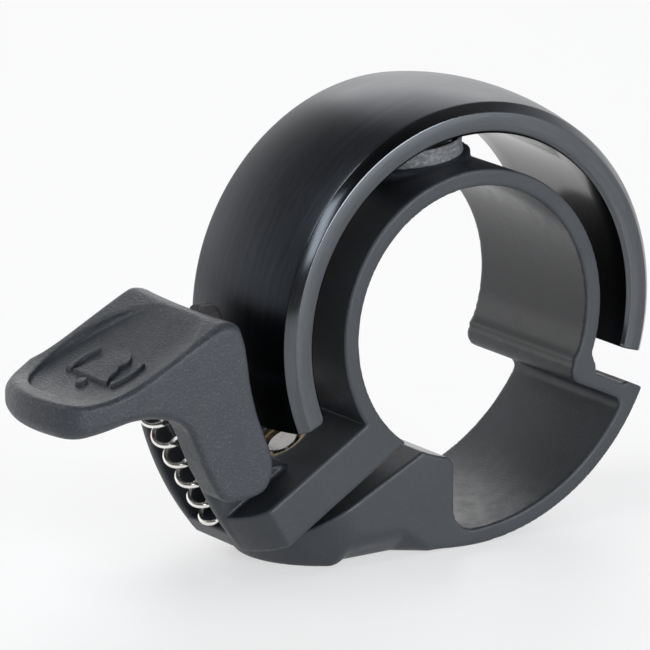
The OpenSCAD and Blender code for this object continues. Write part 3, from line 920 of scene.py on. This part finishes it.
    def solid(self, x: Array, y: Array, z: Array) -> Array:
        """The whole bracket as a signed distance in millimetres."""
        r = np.hypot(x, z)
        a, b = self.clamp.split(x, z)
        shape = round_max(self.ring_part(x, z, r), np.abs(y) - self.half, self.edge)
        shape = round_min(shape, self.lower_arm(x, y, z, r), 0.25)
        shape = np.minimum(shape, self.wall_fillet(x, y, z, r))
        arm = np.minimum(self.upper_arm(x, y, z, r), self.tail(x, y, z, r))
        shape = np.minimum(shape, arm)
        across, out = self.bush.split(x, z)
        off = np.hypot(across, y)
        seat = np.maximum(np.maximum(off - self.seat_r, out - self.seat_top), self.seat_top - 1.1 - out)
        shape = round_min(shape, np.maximum(seat, self.bore - r), 0.3)
        slot = np.maximum(np.maximum(a - self.slot_end, np.abs(y) - self.slot_half), self.slot_floor - b)
        shape = round_max(shape, -slot, 0.15)
        holes = np.minimum(self.screw_holes(a, b, y), self.bell_screw_hole(off, out))
        pin = np.hypot(x - self.hinge[0], z - self.hinge[1]) - self.pin_r
        inside = np.maximum(shape, np.abs(y) - self.half)
        return round_max(inside, -np.minimum(holes, pin), 0.1)

    def wall_fillet(self, x: Array, y: Array, z: Array, r: Array) -> Array:
        """The hollow round between the block's right side and the channel's wall."""
        round_x = self.block_x + self.wall_round
        round_z = self.wall_round - self.channel_in
        corner = np.maximum(np.maximum(x - round_x, self.block_x - 0.2 - x), z - round_z)
        corner = np.maximum(corner, self.wall_round - np.hypot(x - round_x, z - round_z))
        corner = np.maximum(corner, r - self.channel_out + 0.2)
        return np.maximum(corner, np.abs(y) - self.half + 0.02)

    def screw_holes(self, a: Array, b: Array, y: Array) -> Array:
        """Insert pocket from above, screw clearance through, and the head's seat from below."""
        axis = np.hypot(a, y)
        pocket = np.maximum(axis - self.insert_r, self.insert_low - b)
        seat = np.maximum(axis - self.head_r, b + self.head_seat)
        return np.minimum(np.minimum(pocket, axis - self.screw_r), seat)

    def bell_screw_hole(self, off: Array, out: Array) -> Array:
        """A hole along the radius, countersunk from the bore."""
        radius = np.clip(self.sink_r - (out - 11.2) * 0.905, self.bell_screw_r, self.sink_r)
        return np.maximum(off - radius, 10.0 - out)

    def build(self) -> None:
        """Net the solid and dress it."""
        low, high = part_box("clamp_bracket")
        step = self.step * 1
        points, quads = surface_net(self.solid, np.array(low) / MM, np.array(high) / MM, step)
        edge = edge_share(self.solid, points, 0.3)
        centres = points[quads].mean(axis=1)
        inside = np.hypot(centres[:, 0], centres[:, 2])
        # Faces inside the handlebar bore take the bore finish, whose darker colour is painted shade.
        which = np.where((inside < self.bore + 0.02) & (np.abs(centres[:, 1]) < self.half - 0.2), 1, 0)
        made = make_object("bracket_body", points, quads, [self.palette.bracket, self.palette.bore],
                           Body.BRACKET, which, edge)
        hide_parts("clamp_bracket")


@dataclass
class ClampHardware:
    """Screw, washer and threaded insert that close the clamp."""

    palette: Palette = field(default_factory=Palette)

    def build(self, frame: dict) -> None:
        """Dress the CAD nodes.
        """
        dress_node(frame, "thread_insert", self.palette.brass)
        dress_node(frame, "clamp_screw", self.palette.steel)
        dress_node(frame, "clamp_washer", self.palette.steel)


# ---- the lever -----------------------------------------------------------------------------------


@dataclass
class ThumbLever:
    """The thumb lever: pad with its dish, two cheeks, and the emblem in the dish."""

    half: float = 7.2
    cheek_in: float = 4.25
    head: float = -3.3
    dish_centre: tuple = (-30.0, -1.1)
    dish_radius: float = 6.7
    tip: tuple = (-28.6, -2.1)
    tip_radius: float = 10.3
    corner: float = 2.7
    hinge: tuple = (-20.4, -8.8)
    edge: float = 0.5
    step: float = 0.17
    saddle: float = 0.25
    cup_r: float = 1.65
    pin_r: float = 0.6
    cheek_round: float = 25.6
    pad_hollow: tuple = ((-27.6, -20), (-27.6, -3.0), (-31.0, -2.6), (-33.5, -3.1), (-34.5, -4.0), (-34.5, -20))
    clamp: ClampFrame = ClampFrame()
    palette: Palette = field(default_factory=Palette)
    outline: tuple = ((-23.35, 3.45), (-22.0, 3.05), (-21.7, 2.0), (-21.38, 0.06), (-21.06, -2.31),
                      (-20.42, -4.75), (-19.59, -6.8), (-19.1, -8.1), (-18.95, -9.4), (-19.6, -10.9),
                      (-21.1, -11.35), (-23.75, -11.3), (-25.32, -8.57), (-26.03, -6.82), (-26.85, -4.95),
                      (-27.7, -4.1), (-29.6, -3.6), (-31.8, -3.55), (-34.5, -4.05), (-37, -4.3),
                      (-39.2, -4.1), (-40.5, -3.3), (-41.1, -2.2), (-41.1, -1.3), (-40.3, -0.95),
                      (-38.5, -1.2), (-36, -1.45), (-34, -1.3), (-32, -0.75), (-30.2, 0.05), (-24.1, 3.2))
    dish_floor: tuple = ((-43, -1.5), (-41, -1.75), (-38, -2.0), (-35.5, -2.0), (-33, -1.6), (-30.5, -0.7),
                         (-28, 0.45), (-25.6, 1.85), (-23.3, 3.5), (-21.0, 5.2))

    def floor_height(self, x: Array, y: Array) -> Array:
        """Height of the dish floor: Catmull-Rom pieces along x, plus a square rise to the front rim."""
        knots = np.array(self.dish_floor)
        slope = np.gradient(knots[:, 1], knots[:, 0])
        x = np.clip(x, knots[0, 0], knots[-1, 0] - 1e-6)
        i = np.searchsorted(knots[:, 0], x, side="right") - 1
        width = knots[i + 1, 0] - knots[i, 0]
        t = (x - knots[i, 0]) / width
        along = ((2 * t**3 - 3 * t**2 + 1) * knots[i, 1] + (t**3 - 2 * t**2 + t) * width * slope[i]
                 + (3 * t**2 - 2 * t**3) * knots[i + 1, 1] + (t**3 - t**2) * width * slope[i + 1])
        return along + 0.85 * np.clip((-y - 3.4) / 3.6, 0, 1.2) ** 2

    def plan(self, x: Array, y: Array) -> Array:
        """Plan outline: a large round tip with a smaller front corner, and straight sides."""
        reach = self.tip_radius - self.corner
        cy = -self.half + self.corner
        cx = self.tip[0] - math.sqrt(reach**2 - (cy - self.tip[1]) ** 2)
        big = np.hypot(x - self.tip[0], y - self.tip[1]) - self.tip_radius
        sides = np.abs(y) - self.half
        small = np.hypot(x - cx, y - cy) - self.corner
        toward = math.atan2(cy - self.tip[1], cx - self.tip[0])
        across = math.sin(toward) * (x - cx) - math.cos(toward) * (y - cy)
        at_corner = (x < cx) & (across < 0)
        outline = np.maximum(np.where(x > self.tip[0], sides, big), sides)
        return np.where(at_corner, small, outline)

    def edge_radius(self, x: Array, y: Array, z: Array) -> Array:
        """Edge rounding: small on the front top crease, larger at the rear and under the pad."""
        rear = np.clip((y + 6.5) / 8.0, 0, 1)
        under = np.clip((-z - 2.2) / 1.2, 0, 1) * np.clip((-27.5 - x) / 3.0, 0, 1)
        peak = np.clip((x + 26.0) / 3.0, 0, 1) * np.clip((z - 1.0) / 2.0, 0, 1)
        return self.edge + 0.55 * rear + (1.0 - 0.55 * rear) * under * 0.75 + 0.45 * peak * (1 - rear)

    def solid(self, x: Array, y: Array, z: Array) -> Array:
        """The lever as a signed distance in millimetres."""
        dip = self.saddle * np.clip(1 - (y / self.half) ** 2, 0, 1) * np.clip((x + 28) / 4.6, 0, 1)
        side = polygon_distance(x, z, softened(self.outline, 0.75)) + dip * np.clip((z - 1.0) / 2.0, 0, 1)
        shape = round_max(side, self.plan(x, y), self.edge_radius(x, y, z))
        over = (self.floor_height(x, y) - z) * 0.9
        bowl = np.hypot(x - self.dish_centre[0], y - self.dish_centre[1]) - self.dish_radius
        shape = round_max(shape, -round_max(over, bowl, 0.35), 0.22)
        return round_max(shape, -self.hollows(x, y, z), 0.18)

    def hollows(self, x: Array, y: Array, z: Array) -> Array:
        """What is cut away: room for the tail, hollow pad, spring cup, pin bore and slimmer rear cheek."""
        room = np.maximum(np.abs(y) - self.cheek_in, np.maximum(z - self.head, np.abs(x + 21.5) - 6.0))
        hollow = np.maximum(polygon_distance(x, z, np.array(self.pad_hollow)), np.abs(y) - self.cheek_in)
        a, b = self.clamp.split(x, z)
        cup = np.maximum(np.hypot(a + 8.2, y) - self.cup_r, np.maximum(8.0 - b, b - 15.75))
        pin = np.maximum(np.hypot(x - self.hinge[0], z - self.hinge[1]) - self.pin_r, self.half - 0.25 - y)
        outside = self.cheek_round - np.hypot(x - 2.2, z + 1.05)
        rear = np.maximum(np.maximum(self.cheek_in - 0.15 - y, z + 4.4), outside)
        return np.minimum(np.minimum(np.minimum(room, hollow), np.minimum(cup, pin)), rear)

    def build(self, frame: dict) -> None:
        """Net the solid, dress it and add the emblem.
        """
        low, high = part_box("thumb_lever")
        step = self.step * 1
        points, quads = surface_net(self.solid, np.array(low) / MM, np.array(high) / MM, step)
        edge = edge_share(self.solid, points, 0.35)
        made = make_object("lever_body", points, quads, [self.palette.lever], Body.LEVER, edge=edge)
        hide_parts("thumb_lever")
        self.build_emblem()
        dress_node(frame, "hinge_pin", self.palette.steel)

    def emblem_outlines(self) -> list[Array]:
        """Outlines of a plain bell sign: bell, clapper and two sound arcs, round their own origin."""
        top = np.radians(np.linspace(20, 160, 25))
        dome = np.stack([1.75 * np.cos(top), 0.55 + 1.55 * np.sin(top)], 1)
        side = np.array([(1.72, 0.3), (1.95, -0.85), (2.65, -1.5)])
        flare = softened(np.concatenate([side * (-1, 1), side[::-1]]), 0.35, 5)
        turn = np.radians(np.linspace(0, 360, 33)[:-1])
        clapper = np.stack([0.5 * np.cos(turn), -2.25 + 0.5 * np.sin(turn)], 1)
        swing = np.radians(np.linspace(-26, 26, 17))
        wave = np.concatenate([np.stack([3.65 * np.cos(swing), 3.65 * np.sin(swing)], 1),
                               np.stack([3.05 * np.cos(swing[::-1]), 3.05 * np.sin(swing[::-1])], 1)])
        return [np.concatenate([dome, flare]), clapper, wave, -wave]

    def build_emblem(self) -> None:
        """Each outline raised off the dish floor, with its top edge drawn in a little.

        A ring at share s of the height lies inset by a quarter round; heights follow the floor.
        """
        all_points, faces, first = [], [], 0
        for outline in self.emblem_outlines():
            turned = np.stack([outline[:, 1], -outline[:, 0]], axis=1) + np.array([-30.6, -0.7])
            tangent = np.roll(turned, -1, axis=0) - np.roll(turned, 1, axis=0)
            tangent /= np.linalg.norm(tangent, axis=1, keepdims=True)
            inward = np.stack([-tangent[:, 1], tangent[:, 0]], axis=1)
            count = len(turned)
            for inset, lift in ((-0.08, -0.15), (0.0, 0.0), (0.03, 0.24), (0.07, 0.31), (0.14, 0.34)):
                flat = turned + inward * inset
                all_points.append(np.column_stack([flat, self.floor_height(flat[:, 0], flat[:, 1]) + lift]))
            j = np.arange(count)
            k = (j + 1) % count
            for ring in range(4):
                base = first + ring * count
                faces += np.stack([base + j, base + k, base + count + k, base + count + j], axis=1).tolist()
            faces.append(list(first + 4 * count + j))
            first += 5 * count
        made = make_object("lever_emblem", np.concatenate(all_points), faces, [self.palette.lever], Body.LEVER)
        BellShell.crisp(made)


@dataclass
class StrikerKnob:
    """The rough striker on the lever's inner face."""

    height: float = 1.55
    stem: float = 0.8
    knob: float = 1.5
    back: float = -24.0
    face: float = -21.7
    front: float = -19.56
    palette: Palette = field(default_factory=Palette)

    def build(self) -> None:
        """A turned profile along X: stem, then a knob with a domed, slightly lumpy face."""
        t = np.linspace(0, 1, 40)
        dome_x = self.front - 1.1 * (1 - np.sin(t * math.pi / 2))
        dome_r = self.knob * np.cos(t * math.pi / 2) ** 0.72
        along = np.concatenate([[self.back, self.back, self.face, self.face + 0.04, self.face + 0.2], dome_x])
        radius = np.concatenate([[0.0, self.stem, self.stem, self.knob - 0.12, self.knob], dome_r])
        angle = np.linspace(0, 2 * math.pi, 96, endpoint=False)
        lumps = 0.035 * np.sin(3 * angle + 0.4) + 0.025 * np.sin(7 * angle + 1.1) + 0.015 * np.sin(13 * angle)
        radius2 = radius[:, None] * (1 + np.where(radius[:, None] > self.stem + 0.01, lumps, 0) / self.knob)
        radius2 = np.minimum(radius2, self.knob)
        points, faces = turned_grid(along, radius2, 96)
        points = np.stack([points[:, 2], points[:, 1], self.height - points[:, 0]], axis=1)
        made = make_object("striker_knob", points, faces, [self.palette.knob], Body.LEVER)
        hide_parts("striker")


@dataclass
class ReturnSpring:
    """The coil between the tail and the lever."""

    a: float = -8.2
    low: float = 1.9
    high: float = 15.7
    turns: float = 7.0
    outer: float = 2.7
    wire: float = 0.5
    clamp: ClampFrame = ClampFrame()
    palette: Palette = field(default_factory=Palette)

    def build(self) -> None:
        """A round section carried along a helix whose first and last turns lie nearly closed.

        The centre line is (R cos t, R sin t, h(t)); h rises slowly over the first and last 0.7 turn.
        """
        sides, steps = 14, int(self.turns * 64)
        wire = self.wire / 2
        coil = self.outer / 2 - wire
        turn = np.linspace(0, self.turns, steps + 1)
        closed = 0.7
        settle = np.clip(turn / closed, 0, 1) ** 2 * np.clip((self.turns - turn) / closed, 0, 1) ** 2
        speed = 0.16 + 0.84 * settle
        rise = np.concatenate([[0], np.cumsum((speed[1:] + speed[:-1]) / 2)])
        rise = rise / rise[-1]
        phase = -2 * math.pi * turn - 0.4
        height = self.low + wire + 0.02 + rise * (self.high - self.low - 2 * wire - 0.04)
        centre = np.stack([coil * np.cos(phase), coil * np.sin(phase), height], axis=1)
        ahead = np.gradient(centre, axis=0)
        ahead /= np.linalg.norm(ahead, axis=1, keepdims=True)
        out = np.stack([np.cos(phase), np.sin(phase), np.zeros_like(phase)], axis=1)
        up = np.cross(ahead, out)
        up /= np.linalg.norm(up, axis=1, keepdims=True)
        around = np.linspace(0, 2 * math.pi, sides, endpoint=False)
        ring = out[:, None] * np.cos(around)[None, :, None] + up[:, None] * np.sin(around)[None, :, None]
        points = (centre[:, None] + wire * ring).reshape(-1, 3)
        points = placed(self.clamp.matrix(self.a, 0.0), points)
        i, j = np.meshgrid(np.arange(steps), np.arange(sides), indexing="ij")
        k = (j + 1) % sides
        start, next_start = i * sides, (i + 1) * sides
        quads = np.stack([start + j, next_start + j, next_start + k, start + k], axis=-1)
        last = steps * sides
        faces = quads.reshape(-1, 4).tolist()
        faces += [list(range(sides)), list(range(last + sides - 1, last - 1, -1))]
        made = make_object("spring_coil", points, faces, [self.palette.nickel], Body.BRACKET)
        self.follow(made)

    def follow(self, made: bpy.types.Object) -> None:
        """Take the coil off its body, bake its placement and hide the CAD spring; the foot and head places are
        worked out but not used.

        Args:
            made: the coil.
        """
        made.parent = None
        del made["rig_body"]
        foot, head = (placed(self.clamp.matrix(self.a, b), np.zeros((1, 3)))[0] * MM for b in (2.6, 15.0))
        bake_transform(made)
        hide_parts("return_spring")


# ---- the studio ----------------------------------------------------------------------------------


@dataclass
class Studio:
    """Pale floor, soft light and the camera."""

    azimuth: float = -34.08
    elevation: float = 14.90
    distance: float = 0.559
    lens: float = 383.9
    side: float = -7.78
    rise: float = -1.79
    floor: float = -18.56

    def axes(self) -> tuple[Vector, Vector, Vector]:
        """The camera's right, up and backward directions."""
        a, e = math.radians(self.azimuth), math.radians(self.elevation)
        back = Vector((math.sin(a) * math.cos(e), -math.cos(a) * math.cos(e), math.sin(e)))
        right = (-back).cross(Vector((0, 0, 1))).normalized()
        return right, right.cross(-back), back

    def build_camera(self) -> None:
        """A long lens that looks slightly down from the front left, held level."""
        right, up, back = self.axes()
        data = bpy.data.cameras.new("camera")
        data.lens, data.sensor_width = self.lens, 36.0
        data.clip_start, data.clip_end = 0.05, 20.0
        camera = bpy.data.objects.new("camera", data)
        place = back * self.distance + right * self.side * MM + up * self.rise * MM
        turn = Matrix((right, up, back)).transposed().to_4x4()
        camera.matrix_world = Matrix.Translation(place) @ turn
        bpy.context.scene.collection.objects.link(camera)
        bpy.context.scene.camera = camera

    def build_floor(self) -> None:
        """A wide pale floor with the faintest unevenness."""
        steps = np.linspace(-1, 1, 25) ** 3 * 1500
        x, y = np.meshgrid(steps, steps, indexing="ij")
        points = np.stack([x, y, np.full_like(x, self.floor)], axis=-1).reshape(-1, 3)
        i, j = np.meshgrid(np.arange(24), np.arange(24), indexing="ij")
        corner = i * 25 + j
        quads = np.stack([corner, corner + 25, corner + 26, corner + 1], -1).reshape(-1, 4)
        mesh = bpy.data.meshes.new("floor")
        mesh.from_pydata((points * MM).tolist(), [], quads.tolist())
        material = bpy.data.materials.new("floor_white")
        material.use_nodes = True
        graph = Graph(material.node_tree)
        mottled = graph.noise(graph.place(), 14.0, 3.0, 0.5)
        tint = graph.blend(mottled, (0.35, 0.35, 0.352, 1), (0.37, 0.37, 0.372, 1))
        surface = graph.node("ShaderNodeBsdfPrincipled", None,
                             {"Base Color": tint,
                              "Roughness": 0.6, "Specular IOR Level": 0.25,
                              "Emission Color": (1, 1, 1.004, 1), "Emission Strength": 0.585})
        out = graph.node("ShaderNodeOutputMaterial")
        graph.tree.links.new(surface.outputs[0], out.inputs["Surface"])
        mesh.materials.append(material)
        floor = bpy.data.objects.new("floor", mesh)
        bpy.context.scene.collection.objects.link(floor)

    def soft_box(self, name: str, place: tuple, aim: tuple, size: tuple, power: float,
                 colour: tuple = (1, 1, 1)) -> None:
        """One rectangular light.

        Args:
            name: the light's name.
            place: where, in metres.
            aim: what it faces, in metres.
            size: width and height in metres.
            power: in watts.
            colour: its colour.
        """
        data = bpy.data.lights.new(name, "AREA")
        data.shape, data.size, data.size_y = "RECTANGLE", size[0], size[1]
        data.energy, data.color = power, colour
        light = bpy.data.objects.new(name, data)
        way = Vector(aim) - Vector(place)
        light.matrix_world = Matrix.Translation(place) @ way.to_track_quat("-Z", "Y").to_matrix().to_4x4()
        bpy.context.scene.collection.objects.link(light)

    def build_world(self) -> None:
        """A white room, dimmer on the camera's side, seen as plain white by the camera."""
        world = bpy.data.worlds.new("room")
        world.use_nodes = True
        bpy.context.scene.world = world
        graph = Graph(world.node_tree)
        way = graph.node("ShaderNodeTexCoord").outputs["Generated"]
        _, _, back = self.axes()
        toward = graph.value("ShaderNodeVectorMath", 1, {"operation": "DOT_PRODUCT"},
                             {0: way, 1: tuple(back)})
        split = graph.node("ShaderNodeSeparateXYZ", None, {0: way})
        height = Value(graph, split.outputs[2])
        dim = toward.ramp(-0.25, 0.70)
        strength = (1.36 - dim * 1.22) * (1.0 - height.ramp(0.10, 0.75) * 0.80)
        seen = graph.value("ShaderNodeLightPath", "Is Camera Ray")
        level = seen * 0.96 + (1.0 - seen) * strength
        ground = graph.node("ShaderNodeBackground", None, {"Color": (1.0, 1.0, 1.005, 1), "Strength": level})
        out = graph.node("ShaderNodeOutputWorld")
        graph.tree.links.new(ground.outputs[0], out.inputs["Surface"])

    def build(self) -> None:
        """Camera, room, floor and lights."""
        bpy.context.scene.view_settings.view_transform = "Standard"
        self.build_camera()
        self.build_world()
        self.build_floor()
        self.soft_box("key", (-0.30, 0.05, 0.40), (0, 0, 0), (0.34, 0.34), 1.15)
        self.soft_box("front", (0.13, -0.52, 0.07), (0, 0, -0.005), (0.30, 0.30), 2.35, (0.91, 0.955, 1.0))
        self.soft_box("rim", (0.25, 0.35, 0.30), (0, 0, 0), (0.30, 0.30), 0.6)
        self.soft_box("strip", (-0.34, -0.335, 0.29), (0, 0, 0), (0.12, 0.26), 0.34, (0.86, 0.93, 1.0))


def main(frame: dict) -> None:
    """Build the bell's pieces in order, then the studio.
    """
    logging.basicConfig(level=logging.INFO, format="%(name)s %(message)s")
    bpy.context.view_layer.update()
    BellShell().build()
    BushMount().build(frame)
    ClampBracket().build()
    ClampHardware().build(frame)
    ThumbLever().build(frame)
    StrikerKnob().build()
    ReturnSpring().build()
    Studio().build()
    LOG.info("boxes written")


if __name__ == "__main__":
    main(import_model())
